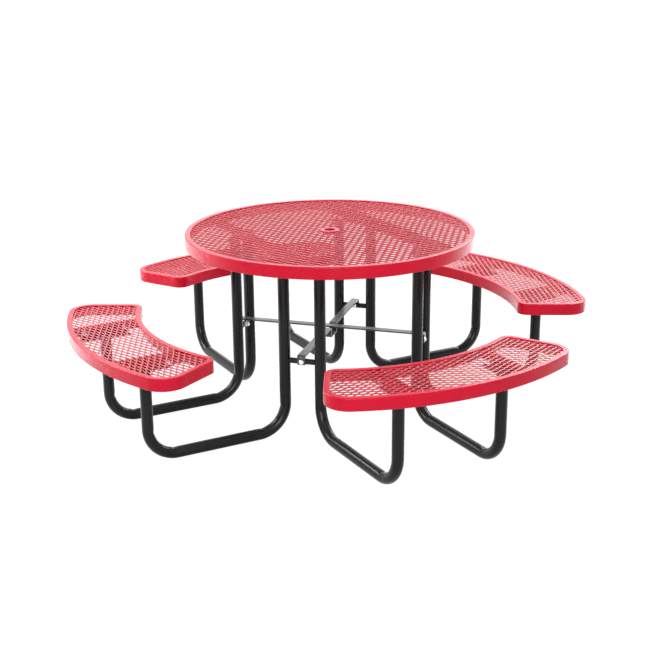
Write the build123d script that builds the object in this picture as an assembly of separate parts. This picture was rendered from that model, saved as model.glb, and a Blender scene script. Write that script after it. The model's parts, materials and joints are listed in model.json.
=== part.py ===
from build123d import *
from math import cos, hypot, radians, sin, sqrt
import os

# Round picnic table with four curved seats on bent-tube legs.
# Frame: origin on the floor under the centre of the table, +Z up.
# The seats stand on -Y (front), +X (right), +Y (rear) and -X (left).
# Each seat is modelled on +X and turned to its place. All sizes are millimetres.

# ---- overall sizes ----
TOP_DIAMETER = 1168.4      # 46 in table top over its coating
TABLE_HEIGHT = 746.0       # floor to the lip of the table top
SEAT_HEIGHT = 430.0        # floor to the lip of a seat
SEAT_INNER_RADIUS = 774.7  # knee edge of a seat, from the table's centre
SEAT_WIDTH = 292.1         # knee edge to outer edge
SEAT_HALF_ANGLE = 30.0     # degrees from the middle of a seat to its end
SEAT_INNER_CORNER = 45.0
SEAT_OUTER_CORNER = 88.0

# ---- coated rims ----
RIM_HEIGHT = 48.0
RIM_WALL = 6.0
LIP_WIDTH = 22.0
LIP_THICKNESS = 5.0
RIM_ROUNDING = 4.5

# ---- expanded metal ----
MESH_THICKNESS = 5.0
MESH_GAP = 0.5             # edge of the mesh to the inside of the rim

# ---- umbrella ring ----
UMBRELLA_BORE = 45.0
UMBRELLA_RING = 79.0

# ---- legs ----
TUBE_DIAMETER = 44.5       # 1-3/4 in tube over its coating
TUBE_WALL = 3.0
TUBE_BEND = 115.0          # centre-line radius of the bends
LEG_INNER = 322.0          # upright under the table, along the seat's direction
LEG_OFFSET = 220.0         # each leg's plane, to the side of the seat's middle

# ---- angle straps and brackets ----
ANGLE_WIDTH = 38.0
ANGLE_THICKNESS = 5.0
BRACKET_LENGTH = 200.0
BRACKET_LAP = 26.0         # overlap of a seat's strap and bracket, bolted at its middle
PLATE_WIDTH = 50.0
PLATE_THICKNESS = 6.0
WELD_GAP = 0.2

# ---- crossbars and braces ----
CROSSBAR_DIAMETER = 22.2
CROSSBAR_WALL = 2.0
CROSSBAR_HEIGHT = 312.0
BRACE_WIDTH = 32.0
BRACE_THICKNESS = 6.0
BRACE_TOP = 340.0
BRACE_BEND = 9.0           # outer radius of each bend
TAB_LENGTH = 38.0
TAB_SPARE_HOLE = 9.0
TAB_SPARE_RISE = 15.0      # spare hole above the bolt
DROP_LENGTH = 68.0
DROP_DEPTH = 37.0

# ---- fasteners ----
BOLT_DIAMETER = 9.5
BOLT_HOLE = 10.5
SEAT_BOLT_SPACING = 82.0   # each side of the leg
TOP_BOLT_DIAMETER = 12.0
TOP_BOLT_HOLE = 13.0
HEAD_WIDTH_RATIO = 1.6     # hexagon across flats, in bolt diameters
HEAD_HEIGHT_RATIO = 0.66
NUT_HEIGHT_RATIO = 0.85
WASHER_DIAMETER_RATIO = 2.1
WASHER_THICKNESS = 1.8
DOME_DIAMETER = 20.0
DOME_HEIGHT = 5.5
THREAD_SPARE = 4.0         # bolt end past its nut
CUT_SPARE = 1.0            # how far a drill or cutter runs past the metal

# ---- worked out ----
SEAT_OUTER_RADIUS = SEAT_INNER_RADIUS + SEAT_WIDTH
MESH_TOP = LIP_THICKNESS
MESH_BOTTOM = MESH_TOP + MESH_THICKNESS
TUBE_RADIUS = TUBE_DIAMETER / 2
LEG_OUTER = sqrt(((SEAT_INNER_RADIUS + SEAT_OUTER_RADIUS) / 2) ** 2 - LEG_OFFSET ** 2)
TOP_STRAP_OFFSET = (LEG_INNER + LEG_OFFSET + ANGLE_WIDTH + ANGLE_THICKNESS) / 2
BRACKET_DEPTH = MESH_BOTTOM + 2 * ANGLE_WIDTH - BRACKET_LAP
SEAT_BOLT_DEPTH = MESH_BOTTOM + ANGLE_WIDTH - BRACKET_LAP / 2
CORNER_RADIAL = (LEG_INNER + LEG_OFFSET) / sqrt(2)   # centre to a crossbar's middle
CORNER_SPAN = (LEG_INNER - LEG_OFFSET) * sqrt(2)     # leg centre to leg centre
SEATS = {"front": -90, "right": 0, "rear": 90, "left": 180}
CORNERS = {"front_right": -45, "rear_right": 45, "rear_left": 135, "front_left": -135}
SIDES = {"a": -1, "b": 1}

parts = {}


def box_between(x0, x1, y0, y1, z0, z1):
    size = Box(abs(x1 - x0), abs(y1 - y0), abs(z1 - z0))
    return Pos((x0 + x1) / 2, (y0 + y1) / 2, (z0 + z1) / 2) * size


def rod(start, end, diameter):
    start, end = Vector(*start), Vector(*end)
    plane = Plane(origin=start, z_dir=end - start)
    return extrude(plane * Circle(diameter / 2), (end - start).length)


def hexagon(start, end, across_flats):
    start, end = Vector(*start), Vector(*end)
    plane = Plane(origin=start, z_dir=end - start)
    outline = RegularPolygon(across_flats / 2, 6, major_radius=False)
    return extrude(plane * outline, (end - start).length)


def group(solids):
    return Compound(children=[solid for shape in solids for solid in shape.solids()])


# ---- outlines ----
def top_outline(inset):
    return Circle(TOP_DIAMETER / 2 - inset)


def seat_outline(inset):
    """A ring sector with rounded corners, drawn in by inset all round."""
    angle = radians(SEAT_HALF_ANGLE)
    apex = inset / sin(angle)
    side = 2 * SEAT_OUTER_RADIUS
    far = (apex + side * cos(angle), side * sin(angle))
    wedge = make_face(Polyline((apex, 0), far, (far[0], -far[1]), (apex, 0)))
    ring = Circle(SEAT_OUTER_RADIUS - inset) - Circle(SEAT_INNER_RADIUS + inset)
    sector = Sketch() + (ring & wedge)
    middle = (SEAT_INNER_RADIUS + SEAT_OUTER_RADIUS) / 2
    outer = [v for v in sector.vertices() if hypot(v.X, v.Y) > middle]
    sector = fillet(outer, SEAT_OUTER_CORNER - inset)
    inner = [v for v in sector.vertices() if hypot(v.X, v.Y) < SEAT_INNER_RADIUS + inset + CUT_SPARE]
    return fillet(inner, SEAT_INNER_CORNER - inset)


# ---- rims ----
def rim(outline, height):
    """Side wall with an inward lip, rounded along its top edge."""
    bottom = height - RIM_HEIGHT
    body = Pos(0, 0, bottom) * extrude(outline(0), RIM_HEIGHT)
    body = fillet(body.edges().group_by(Axis.Z)[-1], RIM_ROUNDING)
    inside = Pos(0, 0, bottom) * extrude(outline(RIM_WALL), RIM_HEIGHT - LIP_THICKNESS)
    opening = Pos(0, 0, bottom) * extrude(outline(LIP_WIDTH), RIM_HEIGHT)
    return body - inside - opening


# ---- expanded metal sheets ----
def mesh_sheet(outline, height):
    """Closed envelope of the expanded metal: the sheet without its diamond openings."""
    sheet = extrude(outline(RIM_WALL + MESH_GAP), MESH_THICKNESS)
    return Pos(0, 0, height - MESH_BOTTOM) * sheet


# ---- legs ----
def leg(side):
    """One bent tube: down from the table, out along the floor, and up to the seat."""
    y = side * LEG_OFFSET
    table_end = TABLE_HEIGHT - RIM_HEIGHT - PLATE_THICKNESS
    seat_end = SEAT_HEIGHT - BRACKET_DEPTH
    path = FilletPolyline(
        (LEG_INNER, y, table_end), (LEG_INNER, y, TUBE_RADIUS),
        (LEG_OUTER, y, TUBE_RADIUS), (LEG_OUTER, y, seat_end), radius=TUBE_BEND)
    section = Plane(origin=(LEG_INNER, y, table_end), z_dir=(0, 0, -1))
    wall = Circle(TUBE_RADIUS) - Circle(TUBE_RADIUS - TUBE_WALL)
    return sweep(section * wall, path=path)


# ---- seat supports ----
def seat_strap(side):
    """Coated angle across a seat: one leg up against the mesh, one leg hanging down."""
    outer = LEG_OFFSET + ANGLE_WIDTH / 2 + ANGLE_THICKNESS
    top = SEAT_HEIGHT - MESH_BOTTOM
    x0, x1 = SEAT_INNER_RADIUS / 2, SEAT_OUTER_RADIUS
    upright = box_between(x0, x1, side * (outer - ANGLE_THICKNESS), side * outer,
                          top - ANGLE_WIDTH, top)
    shelf = box_between(x0, x1, side * (outer - ANGLE_WIDTH), side * outer,
                        top - ANGLE_THICKNESS, top)
    cavity = Pos(0, 0, SEAT_HEIGHT - RIM_HEIGHT) * extrude(seat_outline(RIM_WALL + WELD_GAP), RIM_HEIGHT)
    return ((upright + shelf) & cavity) - seat_bolt_holes(side)


def seat_bracket(side):
    """Black angle on a leg's end, lapped against the strap and bolted to it."""
    outer = LEG_OFFSET + ANGLE_WIDTH / 2
    bottom = SEAT_HEIGHT - BRACKET_DEPTH
    x0, x1 = LEG_OUTER - BRACKET_LENGTH / 2, LEG_OUTER + BRACKET_LENGTH / 2
    upright = box_between(x0, x1, side * (outer - ANGLE_THICKNESS), side * outer,
                          bottom, bottom + ANGLE_WIDTH)
    shelf = box_between(x0, x1, side * (outer - ANGLE_WIDTH), side * outer,
                        bottom, bottom + ANGLE_THICKNESS)
    return (upright + shelf) - seat_bolt_holes(side)


def seat_bolt_places(side):
    """Each bolt's x and the y of the lapped pair's two outer faces, inner one first."""
    lap = LEG_OFFSET + ANGLE_WIDTH / 2
    for sign in (-1, 1):
        x = LEG_OUTER + sign * SEAT_BOLT_SPACING
        yield x, side * (lap - ANGLE_THICKNESS), side * (lap + ANGLE_THICKNESS)


def seat_bolt_holes(side):
    z = SEAT_HEIGHT - SEAT_BOLT_DEPTH
    past = side * CUT_SPARE
    return group(rod((x, inner - past, z), (x, outer + past, z), BOLT_HOLE)
                 for x, inner, outer in seat_bolt_places(side))


def screw_set(head_face, nut_face, diameter, domed=False):
    """Bolt, nut and washers clamping what lies between two faces, each given by a point."""
    head_point, nut_point = Vector(*head_face), Vector(*nut_face)
    out = (head_point - nut_point).normalized()
    flats = diameter * HEAD_WIDTH_RATIO
    washer = diameter * WASHER_DIAMETER_RATIO
    nut_height = diameter * NUT_HEIGHT_RATIO
    under_nut = nut_point - out * WASHER_THICKNESS
    nut_end = under_nut - out * nut_height
    tip = nut_end - out * THREAD_SPARE
    if domed:
        under_head = head_point
        head = dome(under_head, out)
        washers = []
    else:
        under_head = head_point + out * WASHER_THICKNESS
        head = hexagon(under_head, under_head + out * diameter * HEAD_HEIGHT_RATIO, flats)
        washers = [rod(head_point, under_head, washer)]
    shank = rod(under_head, tip, diameter)
    washers.append(rod(under_nut, nut_point, washer))
    bore = rod(under_head + out * CUT_SPARE, tip - out * CUT_SPARE, diameter)
    washers = [piece - bore for piece in washers]
    nut = hexagon(nut_end, under_nut, flats) - bore
    return [piece.solid() for piece in (head + shank, nut, *washers)]


def dome(base, out):
    """Round carriage-bolt head: a cap of a sphere, turned about its axis."""
    edge = DOME_DIAMETER / 2
    radius = (edge ** 2 + DOME_HEIGHT ** 2) / (2 * DOME_HEIGHT)
    outline = Polyline((edge, 0), (0, 0), (0, DOME_HEIGHT)) + RadiusArc((0, DOME_HEIGHT), (edge, 0), radius)
    cap = revolve(Plane.XZ * make_face(outline), Axis.Z)
    return Plane(origin=base, z_dir=out) * cap


# ---- table top supports ----
def top_strap(side):
    """Coated angle under the table top: one leg up to the mesh, one leg along the bottom."""
    x = side * TOP_STRAP_OFFSET
    top = TABLE_HEIGHT - MESH_BOTTOM
    bottom = TABLE_HEIGHT - RIM_HEIGHT
    reach = TOP_DIAMETER / 2
    upright = box_between(x - side * ANGLE_THICKNESS, x, -reach, reach, bottom, top)
    shelf = box_between(x - side * ANGLE_WIDTH, x, -reach, reach, bottom, bottom + ANGLE_THICKNESS)
    cavity = Pos(0, 0, bottom) * extrude(top_outline(RIM_WALL + WELD_GAP), RIM_HEIGHT)
    return ((upright + shelf) & cavity) - top_bolt_holes()


def top_bolt_places():
    """Each corner's bolt stands in the middle of its strap's bottom leg."""
    x = TOP_STRAP_OFFSET - (ANGLE_WIDTH + ANGLE_THICKNESS) / 2
    y = CORNER_RADIAL * sqrt(2) - x
    return [(sx * x, sy * y) for sx in (-1, 1) for sy in (-1, 1)]


def top_bolt_holes():
    low = TABLE_HEIGHT - RIM_HEIGHT - PLATE_THICKNESS - CUT_SPARE
    high = TABLE_HEIGHT - RIM_HEIGHT + ANGLE_THICKNESS + CUT_SPARE
    return group(rod((x, y, low), (x, y, high), TOP_BOLT_HOLE) for x, y in top_bolt_places())


def top_plate(turn):
    """Flat plate welded across the tops of two neighbouring legs."""
    top = TABLE_HEIGHT - RIM_HEIGHT
    blank = box_between(CORNER_RADIAL - PLATE_WIDTH / 2, CORNER_RADIAL + PLATE_WIDTH / 2,
                        -BRACKET_LENGTH / 2, BRACKET_LENGTH / 2, top - PLATE_THICKNESS, top)
    blank = fillet(blank.edges().filter_by(Axis.Z), PLATE_THICKNESS)
    return Rot(0, 0, turn) * blank - top_bolt_holes()


# ---- crossbars and braces ----
def crossbar():
    """Round tube between two neighbouring legs, its ends shaped to them."""
    half = CORNER_SPAN / 2
    ends = (CORNER_RADIAL, -half, CROSSBAR_HEIGHT), (CORNER_RADIAL, half, CROSSBAR_HEIGHT)
    tube = rod(*ends, CROSSBAR_DIAMETER) - rod(*ends, CROSSBAR_DIAMETER - 2 * CROSSBAR_WALL)
    for y in (-half, half):
        foot = (CORNER_RADIAL, y, CROSSBAR_HEIGHT - CROSSBAR_DIAMETER)
        head = (CORNER_RADIAL, y, CROSSBAR_HEIGHT + CROSSBAR_DIAMETER)
        tube -= rod(foot, head, TUBE_DIAMETER + 2 * WELD_GAP)
    near = (CORNER_RADIAL - CROSSBAR_DIAMETER, 0, CROSSBAR_HEIGHT)
    far = (CORNER_RADIAL + CROSSBAR_DIAMETER, 0, CROSSBAR_HEIGHT)
    return tube - rod(near, far, BOLT_HOLE)


def brace(dropped):
    """Flat bar along a diagonal with both ends bent down outside the crossbars."""
    tab_face = CORNER_RADIAL + CROSSBAR_DIAMETER / 2
    end = tab_face + BRACE_THICKNESS
    low = BRACE_TOP - TAB_LENGTH
    outer = [(-end, low), (-end, BRACE_TOP)]
    if dropped:
        half = DROP_LENGTH / 2
        outer += [(-half, BRACE_TOP), (-half, BRACE_TOP - DROP_DEPTH),
                  (half, BRACE_TOP - DROP_DEPTH), (half, BRACE_TOP)]
    outer += [(end, BRACE_TOP), (end, low)]
    profile = offset_strip(outer, BRACE_THICKNESS)
    bar = extrude(Plane.XZ * profile, BRACE_WIDTH / 2, both=True)
    for side in (-1, 1):
        for z, size in ((CROSSBAR_HEIGHT, BOLT_HOLE),
                        (CROSSBAR_HEIGHT + TAB_SPARE_RISE, TAB_SPARE_HOLE)):
            near, far = side * (tab_face - CUT_SPARE), side * (end + CUT_SPARE)
            bar -= rod((near, 0, z), (far, 0, z), size)
    return bar


def offset_strip(points, thickness):
    """Section of a bent bar whose right-hand face follows the points."""
    inner = []
    for i, (x, z) in enumerate(points):
        before = points[i - 1] if i else None
        after = points[i + 1] if i + 1 < len(points) else None
        inner.append((x + strip_shift(before, (x, z), after, 0, thickness),
                      z + strip_shift(before, (x, z), after, 1, thickness)))
    face = make_face(Polyline(*points, *reversed(inner), points[0]))
    return round_bends(face, points, inner)


def strip_shift(before, here, after, axis, thickness):
    """Move of one corner towards the bar's inside, along one axis, for square bends."""
    move = 0.0
    for start, end in ((before, here), (here, after)):
        if start is None or end is None:
            continue
        length = hypot(end[0] - start[0], end[1] - start[1])
        normal = ((end[1] - start[1]) / length, -(end[0] - start[0]) / length)
        move += normal[axis] * thickness
    return move


def round_bends(face, outer, inner):
    """Round each bend: the outside of a turn gets the full radius, the inside the rest."""
    sketch = Sketch() + face
    for i in range(1, len(outer) - 1):
        before, here, after = outer[i - 1], outer[i], outer[i + 1]
        turn = ((here[0] - before[0]) * (after[1] - here[1])
                - (here[1] - before[1]) * (after[0] - here[0]))
        big, small = (outer[i], inner[i]) if turn < 0 else (inner[i], outer[i])
        for point, radius in ((big, BRACE_BEND), (small, BRACE_BEND - BRACE_THICKNESS)):
            corner = sketch.vertices().sort_by_distance((point[0], point[1], 0))[0]
            sketch = fillet(corner, radius)
    return sketch


# ---- assembly ----
def make_table_top():
    parts["top_rim"] = rim(top_outline, TABLE_HEIGHT)
    bore = rod((0, 0, TABLE_HEIGHT - RIM_HEIGHT), (0, 0, TABLE_HEIGHT), UMBRELLA_BORE)
    parts["top_mesh"] = mesh_sheet(top_outline, TABLE_HEIGHT) - bore
    ring = rod((0, 0, TABLE_HEIGHT - MESH_TOP), (0, 0, TABLE_HEIGHT), UMBRELLA_RING)
    ring = fillet(ring.edges().group_by(Axis.Z)[-1], LIP_THICKNESS / 2)
    parts["umbrella_ring"] = ring - bore
    parts["top_strap_right"] = top_strap(1)
    parts["top_strap_left"] = top_strap(-1)


def make_seats():
    seat_rim = rim(seat_outline, SEAT_HEIGHT)
    seat_mesh = mesh_sheet(seat_outline, SEAT_HEIGHT)
    for name, turn in SEATS.items():
        place = Rot(0, 0, turn)
        parts[name + "_seat_rim"] = place * seat_rim
        parts[name + "_seat_mesh"] = place * seat_mesh
        for mark, side in SIDES.items():
            parts[name + "_seat_strap_" + mark] = place * seat_strap(side)
            parts[name + "_seat_bracket_" + mark] = place * seat_bracket(side)
            parts[name + "_leg_" + mark] = place * leg(side)


def make_corners():
    for name, turn in CORNERS.items():
        parts[name + "_top_plate"] = top_plate(turn)
        parts[name + "_crossbar"] = Rot(0, 0, turn) * crossbar()
    parts["straight_brace"] = Rot(0, 0, -45) * brace(False)
    parts["dropped_brace"] = Rot(0, 0, 45) * brace(True)


def make_fasteners():
    sets = {"seat": [], "top": [], "brace": []}
    z = SEAT_HEIGHT - SEAT_BOLT_DEPTH
    for turn in SEATS.values():
        for side in SIDES.values():
            for x, inner, outer in seat_bolt_places(side):
                pieces = screw_set((x, outer, z), (x, inner, z), BOLT_DIAMETER)
                sets["seat"].append([Rot(0, 0, turn) * piece for piece in pieces])
    z = TABLE_HEIGHT - RIM_HEIGHT
    for x, y in top_bolt_places():
        pieces = screw_set((x, y, z - PLATE_THICKNESS), (x, y, z + ANGLE_THICKNESS), TOP_BOLT_DIAMETER)
        sets["top"].append(pieces)
    for turn in CORNERS.values():
        outer = CORNER_RADIAL + CROSSBAR_DIAMETER / 2 + BRACE_THICKNESS
        inner = CORNER_RADIAL - CROSSBAR_DIAMETER / 2
        pieces = screw_set((outer, 0, CROSSBAR_HEIGHT), (inner, 0, CROSSBAR_HEIGHT), BOLT_DIAMETER, True)
        sets["brace"].append([Rot(0, 0, turn) * piece for piece in pieces])
    for name, pieces in sets.items():
        parts[name + "_bolts"] = group(piece[0] for piece in pieces)
        parts[name + "_nuts"] = group(piece[1] for piece in pieces)
        parts[name + "_washers"] = group(washer for piece in pieces for washer in piece[2:])


make_table_top()
make_seats()
make_corners()
make_fasteners()

os.makedirs("parts", exist_ok=True)
for node, shape in parts.items():
    export_step(shape, f"parts/{node}.step")
print(len(parts), "nodes")
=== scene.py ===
# %% [markdown]
# # A round picnic table in plastic-coated steel
#
# This table is a weldment and a kit at once. The top and the four seats are welded from a
# steel rim, a sheet of expanded metal and two angle straps, and each one is dipped in a thick red
# plastic. They are bolted to eight bent tubes with a black powder coat, and two flat bars tie the
# tubes together under the table. The cells below rebuild it in that order: first the room and the
# finishes, then the coated parts, then the tubes, then the bolts.

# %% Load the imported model, which fixes every place and size
import json
from math import asin, cos, exp, pi, radians, sin

import bmesh
import bpy
import numpy as np
from mathutils import Matrix, Vector


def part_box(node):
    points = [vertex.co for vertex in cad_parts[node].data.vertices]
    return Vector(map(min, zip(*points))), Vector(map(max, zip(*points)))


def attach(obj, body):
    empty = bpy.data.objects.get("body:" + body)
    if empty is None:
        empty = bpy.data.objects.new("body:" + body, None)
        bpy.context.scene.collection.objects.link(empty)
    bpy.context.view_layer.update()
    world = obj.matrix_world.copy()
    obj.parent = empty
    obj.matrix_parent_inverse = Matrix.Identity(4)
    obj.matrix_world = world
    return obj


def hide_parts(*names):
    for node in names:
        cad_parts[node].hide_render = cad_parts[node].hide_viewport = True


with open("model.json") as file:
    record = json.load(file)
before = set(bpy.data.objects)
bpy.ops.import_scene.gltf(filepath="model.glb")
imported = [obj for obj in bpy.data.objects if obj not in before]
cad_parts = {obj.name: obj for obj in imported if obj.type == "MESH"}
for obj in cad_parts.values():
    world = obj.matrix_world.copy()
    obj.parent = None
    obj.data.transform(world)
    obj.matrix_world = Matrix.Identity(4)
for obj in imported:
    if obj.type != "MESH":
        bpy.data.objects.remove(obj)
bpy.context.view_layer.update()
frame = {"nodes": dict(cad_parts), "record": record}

BODY = "root"
print("CAD nodes:", len(frame["nodes"]))

# %% [markdown]
# ## Measures
#
# A maker would mark out the job from a few sizes, so the script does too. The places come from the
# boxes of the CAD nodes. The sizes that a box can't give, such as a wall or a corner radius, are
# named here in metres, and nothing further down repeats a bare number for them.

# %% Measures
TOP_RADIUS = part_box("top_rim")[1].x
TABLE_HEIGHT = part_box("top_rim")[1].z
SEAT_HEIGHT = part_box("right_seat_rim")[1].z
SEAT_OUTER_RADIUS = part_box("right_seat_rim")[1].x
SEAT_WIDTH = 0.2921
SEAT_INNER_RADIUS = SEAT_OUTER_RADIUS - SEAT_WIDTH
SEAT_HALF_ANGLE = radians(30)
SEAT_INNER_CORNER = 0.045
SEAT_OUTER_CORNER = 0.088
SEAT_TURNS = {"right": 0, "rear": 90, "left": 180, "front": 270}

RIM_HEIGHT = 0.048
RIM_WALL = 0.006
LIP_WIDTH = 0.022
LIP_THICKNESS = 0.005
print("table", round(TABLE_HEIGHT, 3), "seat", round(SEAT_HEIGHT, 3),
      "reach", round(SEAT_OUTER_RADIUS, 3))

# %% [markdown]
# ## Camera
#
# The camera stands in front of the table and to its left, a little above the top. Its place is
# given as a direction and a distance from a point near the middle of the table, which is easier to
# reason about than a bare position: turning one angle walks round the object. The small roll is
# the camera's own tilt.

# %% Camera
CAMERA_AZIMUTH = -0.4918
CAMERA_ELEVATION = 0.3138
CAMERA_DISTANCE = 4.985
CAMERA_ROLL = -0.0086
CAMERA_TARGET = Vector((-0.0332, -0.0143, 0.3485))
CAMERA_LENS = 66.94
SENSOR_WIDTH = 36


def place_camera():
    back = Vector((sin(CAMERA_AZIMUTH) * cos(CAMERA_ELEVATION),
                   -cos(CAMERA_AZIMUTH) * cos(CAMERA_ELEVATION), sin(CAMERA_ELEVATION)))
    level = Vector((0, 0, 1)).cross(back).normalized()
    upright = back.cross(level)
    right = cos(CAMERA_ROLL) * level + sin(CAMERA_ROLL) * upright
    up = back.cross(right)
    matrix = Matrix((right, up, back)).transposed().to_4x4()
    matrix.translation = CAMERA_TARGET + CAMERA_DISTANCE * back
    data = bpy.data.cameras.new("camera")
    data.lens = CAMERA_LENS
    data.sensor_width = SENSOR_WIDTH
    camera = bpy.data.objects.new("camera", data)
    camera.matrix_world = matrix
    bpy.context.scene.collection.objects.link(camera)
    bpy.context.scene.camera = camera
    return camera


camera = place_camera()
print("camera at", tuple(round(value, 2) for value in camera.matrix_world.translation))

# %% [markdown]
# ## Studio
#
# Coated steel is mostly seen by what it reflects. A white room gives the lips their pale sheen, and
# bright pools of light on the floor behind the table, to its left and right, give the ends of the
# rims theirs. The same white room would fill every shadow with light, though. So what the floor
# and the walls throw back as soft light is held down, which leaves the undersides and the insides
# of the rims dark. A Light Path node tells the kinds of light apart: what is seen directly, what is
# mirrored in a glossy coat, and what arrives as soft light.

# %% Studio
FLOOR_SIZE = 60.0
FLOOR_DROP = 0.0005
FLOOR_GREY = {"seen": 0.10, "mirrored": 0.93, "soft": 0.20}
FLOOR_GLOW = {"seen": 0.96, "mirrored": 0.25, "soft": 0.0}
ROOM_SEEN = 1.05
ROOM_MIRRORED = 1.6
ROOM_LOW = 0.28
ROOM_HIGH = 0.52
WHITE = (1, 1, 1, 1)
LAMPS = {  # place, aim, width, height, power
    "key_lamp": ((-2.6, -5.0, 2.3), (0, 0, 0.5), 2.8, 2.2, 185),
    "back_left_lamp": ((-2.8, 2.4, 2.2), (-2.5, 2.1, 0), 2.6, 2.6, 190),
    "back_right_lamp": ((3.3, 1.0, 2.2), (3.0, 0.9, 0), 2.6, 2.6, 190)}


def soft_lamp(name, place, aim, width, height, power):
    data = bpy.data.lights.new(name, "AREA")
    data.shape = "RECTANGLE"
    data.size, data.size_y = width, height
    data.energy = power
    lamp = bpy.data.objects.new(name, data)
    lamp.location = place
    lamp.rotation_euler = (Vector(aim) - Vector(place)).to_track_quat("-Z", "Y").to_euler()
    bpy.context.scene.collection.objects.link(lamp)


def feed(tree, socket, value):
    """Set a socket to a plain value, or link another node's output to it."""
    if isinstance(value, bpy.types.NodeSocket):
        tree.links.new(value, socket)
    else:
        socket.default_value = value


def mix_value(tree, factor, first, second):
    mix = tree.nodes.new("ShaderNodeMix")
    for socket, value in zip(mix.inputs[:1] + mix.inputs[2:4], (factor, first, second)):
        feed(tree, socket, value)
    return mix.outputs[0]


def by_ray(tree, seen, mirrored, soft):
    """A value that differs as it is seen, mirrored in a gloss, or thrown back as soft light."""
    path = tree.nodes.new("ShaderNodeLightPath").outputs
    unseen = mix_value(tree, path["Is Diffuse Ray"], mirrored, soft)
    return mix_value(tree, path["Is Camera Ray"], unseen, seen)


def build_room():
    world = bpy.data.worlds.new("white_room")
    bpy.context.scene.world = world
    world.use_nodes = True
    tree = world.node_tree
    place = tree.nodes.new("ShaderNodeTexCoord")
    split = tree.nodes.new("ShaderNodeSeparateXYZ")
    rise = tree.nodes.new("ShaderNodeMapRange")
    tree.links.new(place.outputs["Generated"], split.inputs[0])
    tree.links.new(split.outputs["Z"], rise.inputs["Value"])
    rise.inputs["To Min"].default_value = ROOM_LOW
    rise.inputs["To Max"].default_value = ROOM_HIGH
    tree.links.new(by_ray(tree, ROOM_SEEN, ROOM_MIRRORED, rise.outputs["Result"]),
                   tree.nodes["Background"].inputs["Strength"])
    tree.nodes["Background"].inputs["Color"].default_value = WHITE


def build_floor():
    half = FLOOR_SIZE / 2
    mesh = bpy.data.meshes.new("floor")
    corners = [(-half, -half, 0), (half, -half, 0), (half, half, 0), (-half, half, 0)]
    mesh.from_pydata(corners, [], [(0, 1, 2, 3)])
    floor = bpy.data.objects.new("floor", mesh)
    floor.location.z = -FLOOR_DROP
    paper = bpy.data.materials.new("floor_paper")
    paper.use_nodes = True
    tree = paper.node_tree
    shader = tree.nodes["Principled BSDF"]
    tree.links.new(by_ray(tree, **FLOOR_GREY), shader.inputs["Base Color"])
    shader.inputs["Roughness"].default_value = 1.0
    shader.inputs["Specular IOR Level"].default_value = 0.0
    shader.inputs["Emission Color"].default_value = WHITE
    tree.links.new(by_ray(tree, **FLOOR_GLOW), shader.inputs["Emission Strength"])
    mesh.materials.append(paper)
    bpy.context.scene.collection.objects.link(floor)


build_room()
build_floor()
for lamp_name, settings in LAMPS.items():
    soft_lamp(lamp_name, *settings)
bpy.context.scene.view_settings.view_transform = "Standard"
print("lamps:", [light.name for light in bpy.data.lights])

# %% [markdown]
# ## Shared surface effects
#
# Every coat on this table has the same three habits. It dries with a fine orange peel, its colour
# drifts a little from place to place, and it wears or gathers dust where hands, shoes and weather
# reach it. Each habit is one node group with named inputs, built once and placed in each finish
# with that finish's own values.

# %% Node group helpers
NOISE_ROUGHNESS = 0.55


def new_group(name, inputs, outputs):
    """An empty node group with named float or colour sockets, and its two end nodes."""
    tree = bpy.data.node_groups.new(name, "ShaderNodeTree")
    for socket_name, kind, value in inputs:
        socket = tree.interface.new_socket(socket_name, in_out="INPUT", socket_type=kind)
        socket.default_value = value
    for socket_name, kind in outputs:
        tree.interface.new_socket(socket_name, in_out="OUTPUT", socket_type=kind)
    return tree, tree.nodes.new("NodeGroupInput"), tree.nodes.new("NodeGroupOutput")


def add_node(tree, kind, **settings):
    node = tree.nodes.new(kind)
    for key, value in settings.items():
        setattr(node, key, value)
    return node


def object_place(tree):
    """Where a point lies on its own piece, so that patterns stay with the piece."""
    return add_node(tree, "ShaderNodeTexCoord").outputs["Object"]


def noise(tree, scale, detail):
    node = add_node(tree, "ShaderNodeTexNoise")
    node.inputs["Detail"].default_value = detail
    node.inputs["Roughness"].default_value = NOISE_ROUGHNESS
    tree.links.new(object_place(tree), node.inputs["Vector"])
    tree.links.new(scale, node.inputs["Scale"])
    return node.outputs["Fac"]


def stretch(tree, value, from_range, to_range=(0.0, 1.0)):
    """The part of a value inside one range, spread over another."""
    node = add_node(tree, "ShaderNodeMapRange", clamp=True)
    tree.links.new(value, node.inputs["Value"])
    sockets = ("From Min", "From Max", "To Min", "To Max")
    for socket, number in zip(sockets, (*from_range, *to_range)):
        node.inputs[socket].default_value = number
    return node.outputs["Result"]


def combine(tree, operation, first, second):
    node = add_node(tree, "ShaderNodeMath", operation=operation)
    tree.links.new(first, node.inputs[0])
    tree.links.new(second, node.inputs[1])
    return node.outputs[0]


def mix_colour(tree, mask, first, second):
    """The first colour where the mask is 0 and the second where it is 1."""
    mix = add_node(tree, "ShaderNodeMix", data_type="RGBA")
    for socket, value in zip(mix.inputs[:1] + mix.inputs[6:8], (mask, first, second)):
        feed(tree, socket, value)
    return mix.outputs[2]


# %% [markdown]
# ### Orange peel
#
# Thick coatings level out before they set, but never completely. What stays is a shallow ripple,
# from 4 mm wide on the tubes to 14 mm on the rims, with a finer grain on top. Two noises of
# different size, added as a height, give it. Only the height leaves the group, so each finish can
# set its own depth in a Bump node.

# %% Orange peel group
RIPPLE_DETAIL = 2.0
GRAIN_DETAIL = 1.0


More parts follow.
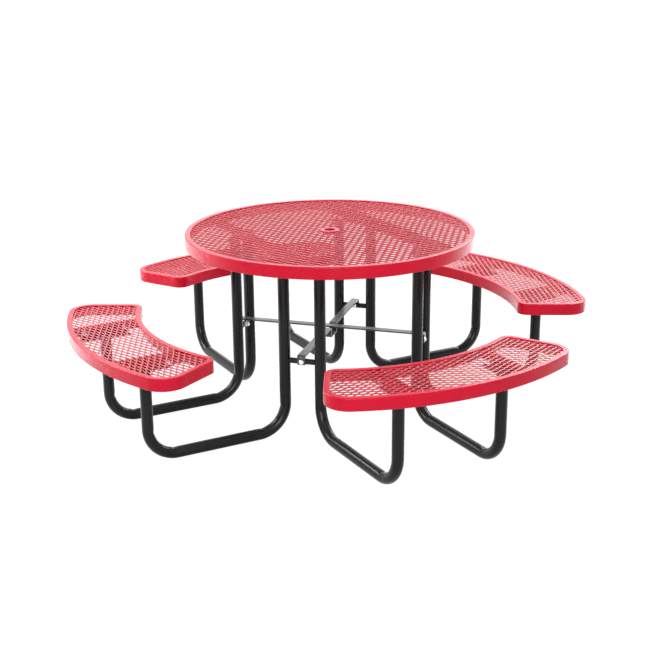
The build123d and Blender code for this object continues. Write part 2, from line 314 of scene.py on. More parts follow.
def make_orange_peel():
    tree, start, end = new_group(
        "orange_peel",
        [("Ripple Scale", "NodeSocketFloat", 90.0), ("Grain Scale", "NodeSocketFloat", 600.0),
         ("Grain Share", "NodeSocketFloat", 0.25)],
        [("Height", "NodeSocketFloat")])
    ripple = noise(tree, start.outputs["Ripple Scale"], RIPPLE_DETAIL)
    grain = noise(tree, start.outputs["Grain Scale"], GRAIN_DETAIL)
    fine = combine(tree, "MULTIPLY", grain, start.outputs["Grain Share"])
    tree.links.new(combine(tree, "ADD", ripple, fine), end.inputs["Height"])
    return tree


ORANGE_PEEL = make_orange_peel()
print("made group", ORANGE_PEEL.name)


# %% [markdown]
# ### Colour drift
#
# A dipped or sprayed colour isn't one value. It is a touch deeper where the coat is thick and a
# touch flatter where it is thin or faded. The group mixes the coat's colour with a second one by a
# wide soft noise, so the eye reads a real surface and not a flood fill.

# %% Colour drift group
DRIFT_DETAIL = 4.0
DRIFT_RANGE = (0.35, 0.68)


def make_colour_drift():
    tree, start, end = new_group(
        "colour_drift",
        [("Colour", "NodeSocketColor", WHITE), ("Thick Colour", "NodeSocketColor", WHITE),
         ("Patch Scale", "NodeSocketFloat", 3.0), ("Amount", "NodeSocketFloat", 0.5)],
        [("Colour", "NodeSocketColor"), ("Mask", "NodeSocketFloat")])
    patches = stretch(tree, noise(tree, start.outputs["Patch Scale"], DRIFT_DETAIL), DRIFT_RANGE)
    mask = combine(tree, "MULTIPLY", patches, start.outputs["Amount"])
    drifted = mix_colour(tree, mask, start.outputs["Colour"], start.outputs["Thick Colour"])
    tree.links.new(drifted, end.inputs["Colour"])
    tree.links.new(mask, end.inputs["Mask"])
    return tree


COLOUR_DRIFT = make_colour_drift()
print("made group", COLOUR_DRIFT.name)


# %% [markdown]
# ### Edge wear, and dust with a painted sheen
#
# Wear shows on convex edges, where the surface turns sharply outwards, and dust settles on what
# faces up. Pointiness gives the first and the upward part of the normal gives the second. Both are
# broken up with noise, because real wear and real dust are never even. On the flat braces the
# lighter up-facing faces are partly dust and partly a painted reflection.

# %% Edge wear, and dust-and-sheen groups
WEAR_DETAIL = 5.0
WEAR_EDGE = (0.52, 0.60)
WEAR_BREAKS = (0.35, 0.75)
DUST_AND_SHEEN_DETAIL = 6.0
DUST_AND_SHEEN_SLOPE = (0.55, 1.0)
DUST_AND_SHEEN_PATCHES = (0.3, 0.8)


def make_edge_wear():
    tree, start, end = new_group(
        "edge_wear",
        [("Amount", "NodeSocketFloat", 0.5), ("Break Scale", "NodeSocketFloat", 60.0)],
        [("Mask", "NodeSocketFloat")])
    edge = stretch(tree, add_node(tree, "ShaderNodeNewGeometry").outputs["Pointiness"], WEAR_EDGE)
    broken = stretch(tree, noise(tree, start.outputs["Break Scale"], WEAR_DETAIL), WEAR_BREAKS)
    worn = combine(tree, "MULTIPLY", edge, broken)
    tree.links.new(combine(tree, "MULTIPLY", worn, start.outputs["Amount"]), end.inputs["Mask"])
    return tree


# Lighter on faces that point up: dust, and on the braces also a painted reflection.
def make_dust_and_sheen():
    tree, start, end = new_group(
        "dust_and_sheen",
        [("Amount", "NodeSocketFloat", 0.2), ("Patch Scale", "NodeSocketFloat", 9.0)],
        [("Mask", "NodeSocketFloat")])
    split = add_node(tree, "ShaderNodeSeparateXYZ")
    tree.links.new(add_node(tree, "ShaderNodeNewGeometry").outputs["Normal"], split.inputs[0])
    up = stretch(tree, split.outputs["Z"], DUST_AND_SHEEN_SLOPE)
    patches = stretch(tree, noise(tree, start.outputs["Patch Scale"], DUST_AND_SHEEN_DETAIL), DUST_AND_SHEEN_PATCHES)
    film = combine(tree, "MULTIPLY", up, patches)
    tree.links.new(combine(tree, "MULTIPLY", film, start.outputs["Amount"]), end.inputs["Mask"])
    return tree


EDGE_WEAR = make_edge_wear()
DUST_AND_SHEEN = make_dust_and_sheen()
print("node groups:", [group.name for group in bpy.data.node_groups])


# %% [markdown]
# ## Finishes
#
# Each finish is its own Principled shader. The groups give it what changes over the surface. What
# is the same everywhere, such as how strongly it mirrors, is set on the shader itself. A coat that
# is rubbed clean is smoother than a thick or dusty one, so the drift and the dust roughen it a
# little.

# %% Finish helper
DRIFT_AMOUNT = 0.8
DRIFT_PATCH_SCALE = 3.0
WEAR_BREAK_SCALE = 45.0
DUST_AND_SHEEN_PATCH_SCALE = 7.0
GRAIN_TO_RIPPLE = 6
GRAIN_SHARE = 0.2
ROUGHNESS_LEAST = 0.85   # share of a finish's roughness where it is clean and thin
ROUGHNESS_MOST = 1.35    # and where it is thick and dusty
SHEEN_ROUGHNESS = 0.3
SHEEN_TINT = (1.0, 0.82, 0.96, 1)


def place_group(tree, group, **values):
    node = tree.nodes.new("ShaderNodeGroup")
    node.node_tree = group
    for name, value in values.items():
        node.inputs[name.replace("_", " ").title()].default_value = value
    return node


def coated_finish(name, colour, thick, worn, dust_and_sheen_colour, roughness, peel_depth, ripple, wear,
                  dust_and_sheen_amount, specular, sheen=0.0):
    """A coat of paint or plastic: drifting colour, worn edges, dust and painted sheen, and an
    orange peel.
    """
    material = bpy.data.materials.new(name)
    material.use_nodes = True
    tree = material.node_tree
    shader = tree.nodes["Principled BSDF"]
    drift = place_group(tree, COLOUR_DRIFT, colour=colour, thick_colour=thick,
                        patch_scale=DRIFT_PATCH_SCALE, amount=DRIFT_AMOUNT)
    edge = place_group(tree, EDGE_WEAR, amount=wear, break_scale=WEAR_BREAK_SCALE)
    film = place_group(tree, DUST_AND_SHEEN, amount=dust_and_sheen_amount, patch_scale=DUST_AND_SHEEN_PATCH_SCALE)
    peel = place_group(tree, ORANGE_PEEL, ripple_scale=ripple,
                       grain_scale=ripple * GRAIN_TO_RIPPLE, grain_share=GRAIN_SHARE)
    tint = mix_colour(tree, edge.outputs["Mask"], drift.outputs["Colour"], worn)
    tint = mix_colour(tree, film.outputs["Mask"], tint, dust_and_sheen_colour)
    tree.links.new(tint, shader.inputs["Base Color"])
    spread = combine(tree, "ADD", drift.outputs["Mask"], film.outputs["Mask"])
    rough_range = (roughness * ROUGHNESS_LEAST, roughness * ROUGHNESS_MOST)
    tree.links.new(stretch(tree, spread, (0.0, 1.0), rough_range), shader.inputs["Roughness"])
    bump = add_node(tree, "ShaderNodeBump")
    bump.inputs["Distance"].default_value = peel_depth
    bump.inputs["Strength"].default_value = 1.0
    tree.links.new(peel.outputs["Height"], bump.inputs["Height"])
    tree.links.new(bump.outputs["Normal"], shader.inputs["Normal"])
    shader.inputs["Specular IOR Level"].default_value = specular
    shader.inputs["Sheen Weight"].default_value = sheen
    shader.inputs["Sheen Roughness"].default_value = SHEEN_ROUGHNESS
    shader.inputs["Sheen Tint"].default_value = SHEEN_TINT
    return material


# %% [markdown]
# ### Red thermoplastic, black powder coat and zinc
#
# The red plastic is two or three millimetres thick, saturated and glossy, with a wide ripple and a
# faint pale sheen at low angles. Inside the rims, and on the straps, a darker and duller copy of
# the red paints the shade that falls there. The powder coat on the tubes is thinner and harder,
# with a finer grain. On the flat braces its dust is heavier and greys the tops, which is partly
# dust and partly a painted reflection. The bolts are zinc plated: their sparkle comes from fine
# uneven crystals, made with a small Voronoi pattern in the roughness.

# %% Finishes
ZINC_CRYSTAL_SCALE = 900.0
ZINC_CRYSTAL_RANGE = (0.0, 0.8)
ZINC_ROUGHNESS = (0.22, 0.42)
ZINC_PATCH_SCALE = 120.0
ZINC_DRIFT = 0.9
ZINC_METALLIC = 0.6

RED = coated_finish(
    "red_thermoplastic", colour=(0.70, 0.002, 0.030, 1), thick=(0.60, 0.001, 0.024, 1),
    worn=(0.82, 0.05, 0.08, 1), dust_and_sheen_colour=(0.78, 0.30, 0.30, 1), roughness=0.24,
    peel_depth=0.0004, ripple=70.0, wear=0.35, dust_and_sheen_amount=0.10, specular=0.20, sheen=0.35)
# A darker, duller copy of the red: painted shade for the insides of the rims and for the straps.
RED_PAINTED_SHADE = coated_finish(
    "red_thermoplastic_painted_shade", colour=(0.56, 0.001, 0.018, 1), thick=(0.46, 0.001, 0.014, 1),
    worn=(0.60, 0.03, 0.05, 1), dust_and_sheen_colour=(0.50, 0.12, 0.14, 1), roughness=0.40,
    peel_depth=0.0004, ripple=70.0, wear=0.1, dust_and_sheen_amount=0.02, specular=0.12)
RED_MESH = coated_finish(
    "red_thermoplastic_mesh", colour=(0.56, 0.003, 0.028, 1), thick=(0.44, 0.002, 0.020, 1),
    worn=(0.85, 0.08, 0.11, 1), dust_and_sheen_colour=(0.80, 0.34, 0.34, 1), roughness=0.22,
    peel_depth=0.0003, ripple=140.0, wear=0.3, dust_and_sheen_amount=0.14, specular=0.40, sheen=0.10)
BLACK = coated_finish(
    "black_powder_coat", colour=(0.004, 0.004, 0.0045, 1), thick=(0.008, 0.008, 0.008, 1),
    worn=(0.04, 0.04, 0.04, 1), dust_and_sheen_colour=(0.10, 0.095, 0.09, 1), roughness=0.20,
    peel_depth=0.0002, ripple=260.0, wear=0.3, dust_and_sheen_amount=0.03, specular=0.20)
# The braces' heavy grey dust on up-facing faces is partly dust and partly a painted reflection on
# their tops.
BLACK_BAR = coated_finish(
    "black_powder_coat_bar", colour=(0.006, 0.006, 0.006, 1), thick=(0.012, 0.012, 0.012, 1),
    worn=(0.06, 0.06, 0.06, 1), dust_and_sheen_colour=(0.30, 0.29, 0.28, 1), roughness=0.26,
    peel_depth=0.0002, ripple=260.0, wear=0.4, dust_and_sheen_amount=0.45, specular=0.7)


def make_zinc():
    material = bpy.data.materials.new("zinc_plate")
    material.use_nodes = True
    tree = material.node_tree
    shader = tree.nodes["Principled BSDF"]
    crystals = add_node(tree, "ShaderNodeTexVoronoi")
    crystals.inputs["Scale"].default_value = ZINC_CRYSTAL_SCALE
    tree.links.new(object_place(tree), crystals.inputs["Vector"])
    rough = stretch(tree, crystals.outputs["Distance"], ZINC_CRYSTAL_RANGE, ZINC_ROUGHNESS)
    tree.links.new(rough, shader.inputs["Roughness"])
    drift = place_group(tree, COLOUR_DRIFT, colour=(0.93, 0.93, 0.91, 1),
                        thick_colour=(0.80, 0.80, 0.81, 1), patch_scale=ZINC_PATCH_SCALE,
                        amount=ZINC_DRIFT)
    tree.links.new(drift.outputs["Colour"], shader.inputs["Base Color"])
    shader.inputs["Metallic"].default_value = ZINC_METALLIC
    return material


ZINC = make_zinc()
FINISHES = {"red_rim_coating": RED, "red_mesh_coating": RED_MESH,
            "black_powder_coat": BLACK, "zinc_plate": ZINC}
print("finishes:", [made.name for made in (RED, RED_PAINTED_SHADE, RED_MESH, BLACK, BLACK_BAR, ZINC)])


# %% [markdown]
# ## Swept shapes
#
# Rims, tubes and the umbrella ring are all one section carried along a line. One helper joins
# rings of points into a skin, closed on itself or capped at its ends, and another rounds the
# corners of a section. Both leave real, evenly spaced faces that a weighted-normal modifier can
# shade cleanly.

# %% Skin and section helpers
ROUNDING_STEPS = 5
NORMAL_WEIGHT = 80


def add_piece(name, vertices, faces, material):
    mesh = bpy.data.meshes.new(name)
    mesh.from_pydata([tuple(v) for v in vertices], [], [tuple(f) for f in faces])
    mesh.validate()
    mesh.materials.append(material)
    mesh.polygons.foreach_set("use_smooth", [True] * len(mesh.polygons))
    piece = bpy.data.objects.new(name, mesh)
    bpy.context.scene.collection.objects.link(piece)
    return piece


def skin(rings, close_along=False):
    """Vertices and quads that join equal rings of points, with caps unless the skin closes."""
    count, size = len(rings), len(rings[0])
    vertices = [point for ring in rings for point in ring]
    faces = []
    for i in range(count if close_along else count - 1):
        j = (i + 1) % count
        for k in range(size):
            m = (k + 1) % size
            faces.append((i * size + k, i * size + m, j * size + m, j * size + k))
    if not close_along:
        faces.append(tuple(range(size))[::-1])
        faces.append(tuple((count - 1) * size + k for k in range(size)))
    return vertices, faces


def rounded(corners):
    """A closed outline through (x, y, radius) corners, each rounded with that radius."""
    outline = []
    count = len(corners)
    for i, (x, y, radius) in enumerate(corners):
        here = Vector((x, y))
        before = (Vector(corners[i - 1][:2]) - here).normalized()
        after = (Vector(corners[(i + 1) % count][:2]) - here).normalized()
        half = before.angle(after) / 2
        centre = here + (before + after).normalized() * radius / sin(half)
        start = here + before * radius / np.tan(half) - centre
        end = here + after * radius / np.tan(half) - centre
        sweep = start.angle_signed(end)
        for step in range(ROUNDING_STEPS + 1):
            turned = start.copy()
            turned.rotate(Matrix.Rotation(-sweep * step / ROUNDING_STEPS, 2))
            outline.append(centre + turned)
    return outline


def weigh_normals(piece):
    modifier = piece.modifiers.new("even_shading", "WEIGHTED_NORMAL")
    modifier.keep_sharp = True
    modifier.weight = NORMAL_WEIGHT


# %% [markdown]
# ## Rims
#
# A rim is a steel angle rolled to the shape of the top or the seat, with its flat leg turned
# inwards to make the lip that the mesh sits under. First come the outlines that the rims follow:
# a circle for the top, and for a seat a ring sector with rounded corners. Each point keeps its
# outward direction, so that the rim and the mesh can both be set in from it by any distance.

# %% Outlines of the top and the seats
TOP_STEPS = 288
ARC_STEP = radians(1.5)
CORNER_STEPS = 14
END_STEPS = 4


def top_outline():
    turns = [2 * pi * i / TOP_STEPS for i in range(TOP_STEPS)]
    return [((TOP_RADIUS * cos(t), TOP_RADIUS * sin(t)), (cos(t), sin(t))) for t in turns]


def arc_points(centre, radius, start, end, steps, normal_sign=1):
    for i in range(steps + 1):
        t = start + (end - start) * i / steps
        direction = (cos(t), sin(t))
        point = (centre[0] + radius * direction[0], centre[1] + radius * direction[1])
        yield point, (normal_sign * direction[0], normal_sign * direction[1])


def seat_outline():
    """Points and outward normals round a seat on +X, anticlockwise from its outer edge."""
    end_normal = SEAT_HALF_ANGLE + pi / 2
    outer_reach = SEAT_OUTER_RADIUS - SEAT_OUTER_CORNER
    inner_reach = SEAT_INNER_RADIUS + SEAT_INNER_CORNER
    outer_turn = SEAT_HALF_ANGLE - asin(SEAT_OUTER_CORNER / outer_reach)
    inner_turn = SEAT_HALF_ANGLE - asin(SEAT_INNER_CORNER / inner_reach)
    outer_centre = (outer_reach * cos(outer_turn), outer_reach * sin(outer_turn))
    inner_centre = (inner_reach * cos(inner_turn), inner_reach * sin(inner_turn))
    steps = round(outer_turn / ARC_STEP)
    half = list(arc_points((0, 0), SEAT_OUTER_RADIUS, 0, outer_turn, steps))
    half += list(arc_points(outer_centre, SEAT_OUTER_CORNER, outer_turn, end_normal,
                            CORNER_STEPS))[1:]
    first = Vector(half[-1][0])
    corner = list(arc_points(inner_centre, SEAT_INNER_CORNER, end_normal, inner_turn + pi,
                             CORNER_STEPS))
    last = Vector(corner[0][0])
    for i in range(1, END_STEPS):
        half.append((tuple(first.lerp(last, i / END_STEPS)), corner[0][1]))
    half += corner
    half += list(arc_points((0, 0), SEAT_INNER_RADIUS, inner_turn, 0, steps, -1))[1:]
    mirrored = [((x, -y), (nx, -ny)) for (x, y), (nx, ny) in half[1:-1]]
    return half + mirrored[::-1]


print("outline points:", len(top_outline()), "round the top,", len(seat_outline()), "round a seat")

# %% [markdown]
# ### The rim's section
#
# The coating rounds every edge of the angle, most of all the one that people lean on. A bevelled
# solid would give the same shape, but a rounded section swept round the outline keeps the faces
# even all the way. The faces inside the rim take a darker, duller copy of the red, which paints the
# shade that falls inside the rim.

# %% Rim section and sweep
EDGE_ROUNDING = 0.0045
LIP_ROUNDING = 0.0024
FOOT_ROUNDING = 0.0022
INSIDE_ROUNDING = 0.002


def rim_section(top):
    bottom, under_lip = top - RIM_HEIGHT, top - LIP_THICKNESS
    return rounded([
        (0, bottom, FOOT_ROUNDING), (0, top, EDGE_ROUNDING), (LIP_WIDTH, top, LIP_ROUNDING),
        (LIP_WIDTH, under_lip, LIP_ROUNDING), (RIM_WALL, under_lip, INSIDE_ROUNDING),
        (RIM_WALL, bottom, FOOT_ROUNDING)])


def rim_piece(name, outline, top):
    section = rim_section(top)
    rings = []
    for (x, y), (nx, ny) in outline:
        rings.append([(x - nx * inset, y - ny * inset, z) for inset, z in section])
    vertices, faces = skin(rings, close_along=True)
    piece = add_piece(name, vertices, faces, RED)
    # The rim's inner faces take the darker red, which paints the shade that falls inside the rim.
    piece.data.materials.append(RED_PAINTED_SHADE)
    low, high = top - RIM_HEIGHT + FOOT_ROUNDING, top - LIP_ROUNDING
    steps = zip(section, section[1:] + section[:1])
    inner = [k for k, ((inset, z), (_, after)) in enumerate(steps)
             if inset > RIM_WALL / 2 and low <= z <= high and low <= after <= high]
    for polygon in piece.data.polygons:
        polygon.material_index = int(polygon.index % len(section) in inner)
    weigh_normals(piece)
    return piece


def turn_to(piece, degrees):
    piece.rotation_euler.z = radians(degrees)
    bpy.context.view_layer.update()


top_rim = rim_piece("coated_top_rim", top_outline(), TABLE_HEIGHT)
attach(top_rim, BODY)
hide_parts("top_rim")
for seat, turn in SEAT_TURNS.items():
    seat_rim = rim_piece(f"coated_{seat}_seat_rim", seat_outline(), SEAT_HEIGHT)
    turn_to(seat_rim, turn)
    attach(seat_rim, BODY)
    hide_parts(f"{seat}_seat_rim")
print("rim section points:", len(rim_section(0)))

# %% [markdown]
# ## Expanded metal
#
# Expanded metal is slit and stretched, so each strand is a narrow ribbon that leans, and four
# strands meet in a broad knuckle. Dipping rounds it all. It could be a flat sheet with holes, but
# then it would look punched. Here each diamond cell is its own ring of faces, from the strands'
# centre line over a rounded shoulder to the edge of the opening and back underneath. One side of
# each opening is raised and the other lowered, which is the lean. The sheet of the left seat is
# laid the other way up, so its strands lean the other way. Neighbouring cells share their centre
# lines, so merging the shared points makes one closed net.

# %% Expanded metal
SEAT_LONG_WAY, SEAT_SHORT_WAY = 0.0508, 0.0234
TOP_LONG_WAY, TOP_SHORT_WAY = 0.0508, 0.0294
TOP_MESH_TURN = radians(141)
SEAT_OPENING_HALF_LONG, TOP_OPENING_HALF_LONG = 0.0184, 0.0190
SEAT_KNUCKLE_HALF_SHORT, TOP_KNUCKLE_HALF_SHORT = 0.0047, 0.0043
OPENING_POWER = 1.22
STRAND_THICKNESS = 0.0042
STRAND_LEAN = 0.0004
TURNED_LEAN = -0.0004
SIDE_STEPS = 3
MESH_LIFT = 0.002
MESH_LEVEL = LIP_THICKNESS + STRAND_THICKNESS / 2 + STRAND_LEAN - MESH_LIFT
MESH_INSET = 0.0072
SHOULDER_ANGLES = [radians(a) for a in (0, 32, 60, 90, 128, 180)]
FLATNESS = 0.8
MERGE_GRID = 1e-6
SLIVER = 0.00002
HOLE_EDGE = 0.024        # how near the umbrella hole's middle the net of the top comes
FAR_AWAY = 1e9
TINY = 1e-6


def cell_ring(long_way, short_way, open_long, knuckle, lean):
    """One cell about the origin: rings of (x, y, z), from the top centre line to the bottom."""
    half_long, half_short = long_way / 2, short_way / 2
    open_short = half_short - knuckle
    corners = [(1, 0), (0, 1), (-1, 0), (0, -1)]
    line = []
    for (ax, ay), (bx, by) in zip(corners, corners[1:] + corners[:1]):
        for step in range(SIDE_STEPS):
            t = step / SIDE_STEPS
            line.append((ax + (bx - ax) * t, ay + (by - ay) * t))
    rings = []
    for angle in SHOULDER_ANGLES:
        out = sin(angle) ** FLATNESS
        rise = abs(cos(angle)) ** FLATNESS * (1 if angle < pi / 2 else -1)
        ring = []
        for u, v in line:
            edge_u = abs(u) ** (1 / OPENING_POWER) * (1 if u > 0 else -1)
            edge_v = abs(v) ** (1 / OPENING_POWER) * (1 if v > 0 else -1)
            x = u * half_long + (edge_u * open_long - u * half_long) * out
            y = v * half_short + (edge_v * open_short - v * half_short) * out
            ring.append((x, y, STRAND_THICKNESS / 2 * rise + lean * edge_v * out))
        rings.append(ring)
    return np.array(rings)


def cell_centres(long_way, short_way, turn, middle, reach):
    rows = int(2 * reach / short_way) + 1
    columns = int(reach / long_way) + 1
    centres = []
    for row in range(-rows, rows + 1):
        for column in range(-columns, columns + 1):
            u, v = (column + (row % 2) / 2) * long_way, row * short_way / 2
            centres.append((middle + u * cos(turn) - v * sin(turn), u * sin(turn) + v * cos(turn)))
    return np.array(centres)


def inside_outline(points, outline):
    """True for each point inside a closed outline, by counting crossings."""
    inside = np.zeros(len(points), bool)
    x, y = points[:, 0], points[:, 1]
    for (ax, ay), (bx, by) in zip(outline, np.roll(outline, -1, axis=0)):
        crosses = (ay > y) != (by > y)
        if ay != by:
            inside ^= crosses & (x < ax + (y - ay) * (bx - ax) / (by - ay))
    return inside


def nearest_on(points, outline):
    """Each point's nearest place on a closed outline."""
    best, distance = points.copy(), np.full(len(points), FAR_AWAY)
    for a, b in zip(outline, np.roll(outline, -1, axis=0)):
        along = b - a
        t = np.clip(((points - a) @ along) / (along @ along), 0, 1)
        place = a + t[:, None] * along
        gap = np.hypot(*(points - place).T)
        nearer = gap < distance
        best[nearer], distance[nearer] = place[nearer], gap[nearer]
    return best


def inset_line(outline, inset):
    return np.array([(x - nx * inset, y - ny * inset) for (x, y), (nx, ny) in outline])


def expanded_metal(name, outline, pattern, turn, middle, level, keep_clear=0.0):
    """A net of cells cut to an outline, with its points outside drawn in to the border."""
    border = inset_line(outline, MESH_INSET)
    long_way, short_way = pattern[:2]
    cell = cell_ring(*pattern)
    spin = np.array([[cos(turn), -sin(turn)], [sin(turn), cos(turn)]])
    cell[:, :, :2] = cell[:, :, :2] @ spin.T
    centres = cell_centres(long_way, short_way, turn, middle, TOP_RADIUS + long_way)
    corners = centres[:, None, :] + cell[0][None, :, :2]
    touched = inside_outline(corners.reshape(-1, 2), border).reshape(len(centres), -1).any(axis=1)
    centres = centres[touched]
    rings, sides = cell.shape[:2]
    points = np.repeat(cell[None], len(centres), axis=0)
    points[..., :2] += centres[:, None, None, :]
    points = points.reshape(-1, 3)
    on_grid = np.round(points / MERGE_GRID).astype(np.int64)
    _, first, merged = np.unique(on_grid, axis=0, return_index=True, return_inverse=True)
    vertices = points[first]
    merged = merged.reshape(len(centres), rings, sides)
    here, there = merged, np.roll(merged, -1, axis=2)
    quads = np.stack([here[:, :-1], there[:, :-1], there[:, 1:], here[:, 1:]], axis=-1)
    quads = quads.reshape(-1, 4)
    outside = ~inside_outline(vertices[:, :2], border)
    quads = quads[~outside[quads].all(axis=1)]
    vertices[outside, :2] = nearest_on(vertices[outside, :2], border)
    vertices[:, 2] += level
    if keep_clear:
        distance = np.hypot(vertices[:, 0], vertices[:, 1])
        quads = quads[~(distance[quads] < keep_clear).all(axis=1)]
        close = distance < keep_clear
        vertices[close, :2] *= (keep_clear / np.maximum(distance[close], TINY))[:, None]
    used, renumbered = np.unique(quads, return_inverse=True)
    piece = add_piece(name, vertices[used], renumbered.reshape(-1, 4), RED_MESH)
    tidy_net(piece)
    print(name, "cells", len(centres), "faces", len(piece.data.polygons))
    return piece


def tidy_net(piece):
    """Drop the slivers that the cut left, close the cut strand ends, and face everything out."""
    net = bmesh.new()
    net.from_mesh(piece.data)
    bmesh.ops.remove_doubles(net, verts=net.verts, dist=SLIVER)
    bmesh.ops.dissolve_degenerate(net, dist=SLIVER, edges=net.edges)
    cut = [edge for edge in net.edges if edge.is_boundary]
    bmesh.ops.holes_fill(net, edges=cut, sides=0)
    loose = [vertex for vertex in net.verts if not vertex.link_faces]
    bmesh.ops.delete(net, geom=loose, context="VERTS")
    bmesh.ops.recalc_face_normals(net, faces=net.faces)
    for face in net.faces:
        face.smooth = True
    net.to_mesh(piece.data)
    net.free()


TOP_PATTERN = (TOP_LONG_WAY, TOP_SHORT_WAY, TOP_OPENING_HALF_LONG, TOP_KNUCKLE_HALF_SHORT,
               STRAND_LEAN)
SEAT_SIZES = (SEAT_LONG_WAY, SEAT_SHORT_WAY, SEAT_OPENING_HALF_LONG, SEAT_KNUCKLE_HALF_SHORT)
top_net = expanded_metal("coated_top_mesh", top_outline(), TOP_PATTERN, TOP_MESH_TURN,
                         0.0, TABLE_HEIGHT - MESH_LEVEL, keep_clear=HOLE_EDGE)
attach(top_net, BODY)
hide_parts("top_mesh")
seat_middle = (SEAT_INNER_RADIUS + SEAT_OUTER_RADIUS) / 2
for seat, turn in SEAT_TURNS.items():
    lean = TURNED_LEAN if seat == "left" else STRAND_LEAN
    net = expanded_metal(f"coated_{seat}_seat_mesh", seat_outline(), (*SEAT_SIZES, lean), pi / 2,
                         seat_middle, SEAT_HEIGHT - MESH_LEVEL)
    turn_to(net, turn)
    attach(net, BODY)
    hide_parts(f"{seat}_seat_mesh")

# %% [markdown]
# ## Umbrella ring
#
# A turned ring is welded over the mesh at the middle of the top, so that an umbrella pole has a
# smooth collar to stand in. It is a small section swept round a circle, with a wide soft edge
# outside and a lip that runs down into the hole.

# %% Umbrella ring
RING_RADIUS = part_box("umbrella_ring")[1].x
RING_BORE = 0.0225
RING_DEPTH = 0.0155
RING_STEPS = 72
RING_EDGE_ROUNDING = 0.0024
RING_BORE_ROUNDING = 0.0022
RING_UNDER_ROUNDING = 0.0012
RING_SHARP_ROUNDING = 0.001


def ring_piece():
    top = TABLE_HEIGHT
    section = rounded([(RING_BORE, top - RING_DEPTH, RING_SHARP_ROUNDING),
                       (RING_BORE, top, RING_BORE_ROUNDING),
                       (RING_RADIUS, top, RING_EDGE_ROUNDING),
                       (RING_RADIUS, top - LIP_THICKNESS, RING_UNDER_ROUNDING),
                       (RING_BORE + RIM_WALL, top - LIP_THICKNESS, RING_SHARP_ROUNDING),
                       (RING_BORE + RIM_WALL, top - RING_DEPTH, RING_SHARP_ROUNDING)])
    rings = []
    for i in range(RING_STEPS):
        t = 2 * pi * i / RING_STEPS
        rings.append([(r * cos(t), r * sin(t), z) for r, z in section])
    vertices, faces = skin(rings, close_along=True)
    return add_piece("coated_umbrella_ring", vertices, faces, RED_MESH)


umbrella_ring = ring_piece()
weigh_normals(umbrella_ring)
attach(umbrella_ring, BODY)
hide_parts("umbrella_ring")
print("umbrella ring faces:", len(umbrella_ring.data.polygons))

# %% [markdown]
# ## Bent-tube legs
#
# Each leg is one length of pipe bent twice in a rotary-draw bender. The outside of a bend stretches
# and the inside is squeezed, so the round section goes slightly oval, and the bender leaves a
# shallow dent on the inside where each bend starts and ends. A curve with a bevel would give a
# perfect tube, so the rings are made one by one instead, and each takes its own ovality and dent.

# %% Legs
TUBE_RADIUS = 0.02225
BEND_RADIUS = 0.115
LEG_SECTION_STEPS = 40
BEND_STEPS = 40
BEND_FLATTENING = 0.07
BEND_BULGE = 0.25        # share of the flattening that comes out at the tube's sides
NEAR_BEND = 0.012
OFF_BEND = 0.035
WELL_OFF_BEND = 0.06
END_BAND = 0.01
DENT_DEPTH = 0.0026
DENT_PLACES = (0.10, 0.90)
DENT_LENGTH = 0.06
DENT_WIDTH = 0.75
NO_BEND = -1.0
LEG_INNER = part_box("right_leg_a")[0].x + TUBE_RADIUS
LEG_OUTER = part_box("right_leg_a")[1].x - TUBE_RADIUS
LEG_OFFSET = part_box("right_leg_b")[1].y - TUBE_RADIUS
LEG_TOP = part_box("right_leg_a")[1].z
LEG_SEAT_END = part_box("right_seat_bracket_a")[0].z


def leg_stations():
    """Centre, direction and share of the way round a bend, along one leg in its own plane."""
    stations = []
    run_start, run_end = LEG_INNER + BEND_RADIUS, LEG_OUTER - BEND_RADIUS
    bend_top = TUBE_RADIUS + BEND_RADIUS
    for z in (LEG_TOP, LEG_TOP - END_BAND, bend_top + WELL_OFF_BEND, bend_top + OFF_BEND,
              bend_top + NEAR_BEND):
        stations.append(((LEG_INNER, z), (0, -1), NO_BEND))
    for i in range(BEND_STEPS + 1):
        t = pi / 2 * i / BEND_STEPS
        centre = (run_start - BEND_RADIUS * cos(t), bend_top - BEND_RADIUS * sin(t))
        stations.append((centre, (sin(t), -cos(t)), i / BEND_STEPS))
    for x in (run_start + NEAR_BEND, run_start + OFF_BEND, run_end - OFF_BEND,
              run_end - NEAR_BEND):
        stations.append(((x, TUBE_RADIUS), (1, 0), NO_BEND))
    for i in range(BEND_STEPS + 1):
        t = pi / 2 * i / BEND_STEPS
        centre = (run_end + BEND_RADIUS * sin(t), bend_top - BEND_RADIUS * cos(t))
        stations.append((centre, (cos(t), sin(t)), i / BEND_STEPS))
    for z in (bend_top + NEAR_BEND, bend_top + OFF_BEND, LEG_SEAT_END - END_BAND,
              LEG_SEAT_END):
        stations.append(((LEG_OUTER, z), (0, 1), NO_BEND))
    return stations


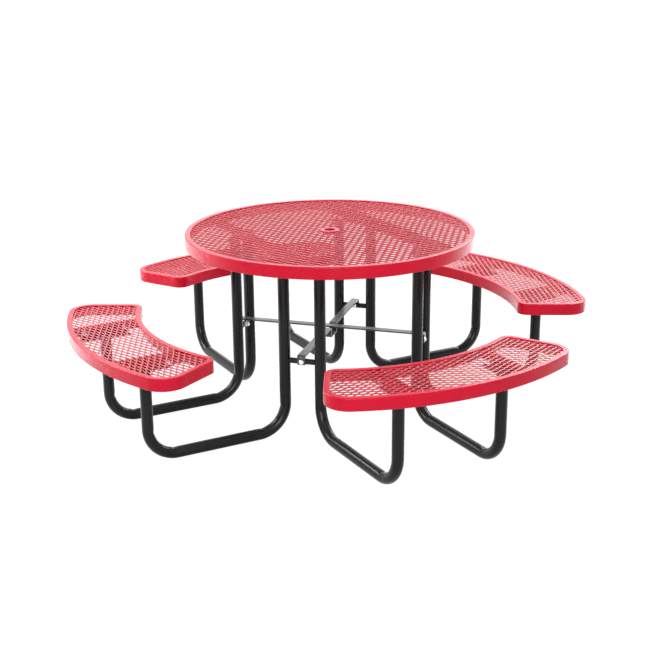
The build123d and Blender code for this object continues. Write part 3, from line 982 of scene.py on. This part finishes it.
def dent(along, around):
    """Depth of the bender's marks on the inside of a bend, at an angle round the tube."""
    around = (around + pi) % (2 * pi) - pi
    marks = sum(exp(-((along - place) / DENT_LENGTH) ** 2) for place in DENT_PLACES)
    return DENT_DEPTH * marks * exp(-(around / DENT_WIDTH) ** 2)


def leg_piece(name, side):
    rings = []
    for (x, z), (dx, dz), along in leg_stations():
        ring = []
        bend = sin(pi * max(along, 0))
        for k in range(LEG_SECTION_STEPS):
            t = 2 * pi * k / LEG_SECTION_STEPS
            reach = TUBE_RADIUS - dent(along, t)
            across = reach * (1 - BEND_FLATTENING * bend * (0.5 + 0.5 * cos(t))) * cos(t)
            sideways = reach * (1 + BEND_BULGE * BEND_FLATTENING * bend) * sin(t)
            ring.append((x - dz * across, side * LEG_OFFSET + sideways, z + dx * across))
        rings.append(ring)
    vertices, faces = skin(rings)
    piece = add_piece(name, vertices, faces, BLACK)
    mend_normals(piece)
    return piece


def mend_normals(piece):
    net = bmesh.new()
    net.from_mesh(piece.data)
    bmesh.ops.recalc_face_normals(net, faces=net.faces)
    net.to_mesh(piece.data)
    net.free()
    weigh_normals(piece)


for seat, turn in SEAT_TURNS.items():
    for mark, side in (("a", -1), ("b", 1)):
        leg = leg_piece(f"bent_{seat}_leg_{mark}", side)
        turn_to(leg, turn)
        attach(leg, BODY)
        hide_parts(f"{seat}_leg_{mark}")
print("rings along a leg:", len(leg_stations()))

# %% [markdown]
# ## Pieces kept from the CAD model
#
# The straps, brackets, plates, crossbars, braces and fasteners already have their right shape, so
# they only need their finishes. They could be given small bevels, but that would change their
# meshes, so the softness of their coated edges is left to the edge wear in the finish. The straps
# take the darker red that paints the shade inside the rims, and the braces the dustier black, whose
# grey tops are partly a painted reflection.

# %% Finishes on the kept nodes
SLOT_OF_NODE = {row["node"]: row["material_slot"] for row in frame["record"]["subparts"]}


def finish_of(node_name):
    # The braces take the black whose grey tops are partly a painted reflection.
    if node_name.endswith("_brace"):
        return BLACK_BAR
    # The straps take the darker red that paints the shade under the top and the seats.
    if "_strap" in node_name:
        return RED_PAINTED_SHADE
    return FINISHES[SLOT_OF_NODE[node_name]]


for node_name, node in frame["nodes"].items():
    node.data.materials.clear()
    node.data.materials.append(finish_of(node_name))
print("kept finishes on", len(SLOT_OF_NODE), "nodes")
